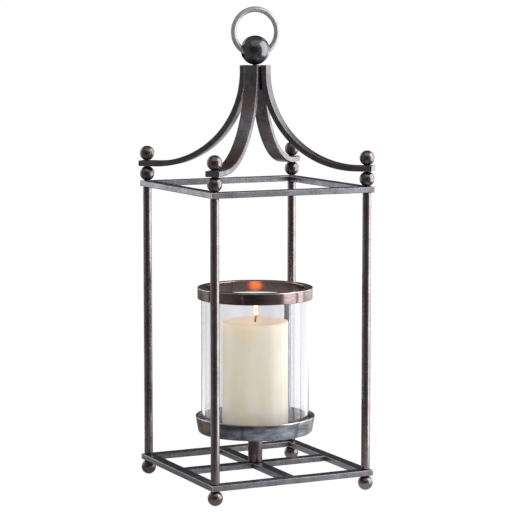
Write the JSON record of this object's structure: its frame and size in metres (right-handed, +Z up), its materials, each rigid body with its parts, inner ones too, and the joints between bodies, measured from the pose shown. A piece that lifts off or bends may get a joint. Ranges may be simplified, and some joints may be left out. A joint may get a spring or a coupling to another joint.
{
  "type": "candle lantern",
  "caption": "Tall open cage lantern of bronzed iron with ball feet and finials, swept arms to a ball and hanging ring, and a glass cylinder holding a pillar candle on a raised dish.",
  "frame": {"origin": "on the ground, at the centre of the four ball feet", "axes": "+Z up; the posts stand at the corners of a square along X and Y; -Y is the front, +X is the right"},
  "size_m": [0.209, 0.209, 0.5443],
  "materials": {
    "frame_iron": "patinated gunmetal grey iron with copper-brown rubbed edges, semi-gloss",
    "post_iron": "dark bronzed round rod, semi-gloss, brushed along its length",
    "arm_iron": "dark bronzed flat bar with copper-brown patches and lighter ground edges",
    "ball_iron": "turned ball, dark bronze, mottled, glossy",
    "ring_steel": "drawn round wire, smoked steel, polished",
    "pedestal_iron": "copper-brown turned bar, semi-gloss",
    "dish_iron": "blue-grey forged pan with dark streaks and a bare rim edge",
    "collar_iron": "bronzed turned ring, brushed round its rim",
    "stud_zinc": "zinc plated thread",
    "clear_glass": "clear, polished",
    "ivory_wax": "ivory paraffin wax, smooth, slightly translucent",
    "charred_wick": "braided cotton, charred"
  },
  "bodies": {
    "lantern": {"base_bar_front": "frame_iron", "base_bar_right": "frame_iron", "base_bar_back": "frame_iron", "base_bar_left": "frame_iron", "top_bar_front": "frame_iron", "top_bar_right": "frame_iron", "top_bar_back": "frame_iron", "top_bar_left": "frame_iron", "cross_bar_long": "frame_iron", "cross_bar_front": "frame_iron", "cross_bar_back": "frame_iron", "foot_ball_front_left": "ball_iron", "foot_stud_front_left": "stud_zinc", "post_front_left": "post_iron", "corner_stud_front_left": "stud_zinc", "spacer_ball_front_left": "ball_iron", "finial_ball_front_left": "ball_iron", "arm_front_left": "arm_iron", "foot_ball_front_right": "ball_iron", "foot_stud_front_right": "stud_zinc", "post_front_right": "post_iron", "corner_stud_front_right": "stud_zinc", "spacer_ball_front_right": "ball_iron", "finial_ball_front_right": "ball_iron", "arm_front_right": "arm_iron", "foot_ball_back_right": "ball_iron", "foot_stud_back_right": "stud_zinc", "post_back_right": "post_iron", "corner_stud_back_right": "stud_zinc", "spacer_ball_back_right": "ball_iron", "finial_ball_back_right": "ball_iron", "arm_back_right": "arm_iron", "foot_ball_back_left": "ball_iron", "foot_stud_back_left": "stud_zinc", "post_back_left": "post_iron", "corner_stud_back_left": "stud_zinc", "spacer_ball_back_left": "ball_iron", "finial_ball_back_left": "ball_iron", "arm_back_left": "arm_iron", "hub_core": "arm_iron", "hub_stud": "stud_zinc", "hub_ball": "ball_iron", "pedestal": "pedestal_iron", "dish": "dish_iron", "dish_screw": "stud_zinc"},
    "ring": {"hanging_ring": "ring_steel"},
    "glass": {"glass_cylinder": "clear_glass"},
    "collar": {"collar_ring": "collar_iron"},
    "candle_and_wick": {"candle": "ivory_wax", "wick": "charred_wick"}
  },
  "joints": [
    {"name": "ring_swing", "type": "hinge", "parent": "lantern", "child": "ring", "pos_m": [0, 0, 0.4935], "axis": [0.9877, -0.1564, 0], "range_deg": [-150, 150]},
    {"name": "glass_lift", "type": "slide", "parent": "lantern", "child": "glass", "axis": [0, 0, 1], "range_m": [0, 0.128]},
    {"name": "collar_lift", "type": "slide", "parent": "glass", "child": "collar", "axis": [0, 0, 1], "range_m": [0, 0.015]},
    {"name": "candle_lift", "type": "slide", "parent": "lantern", "child": "candle_and_wick", "axis": [0, 0, 1], "range_m": [0, 0.17]}
  ]
}
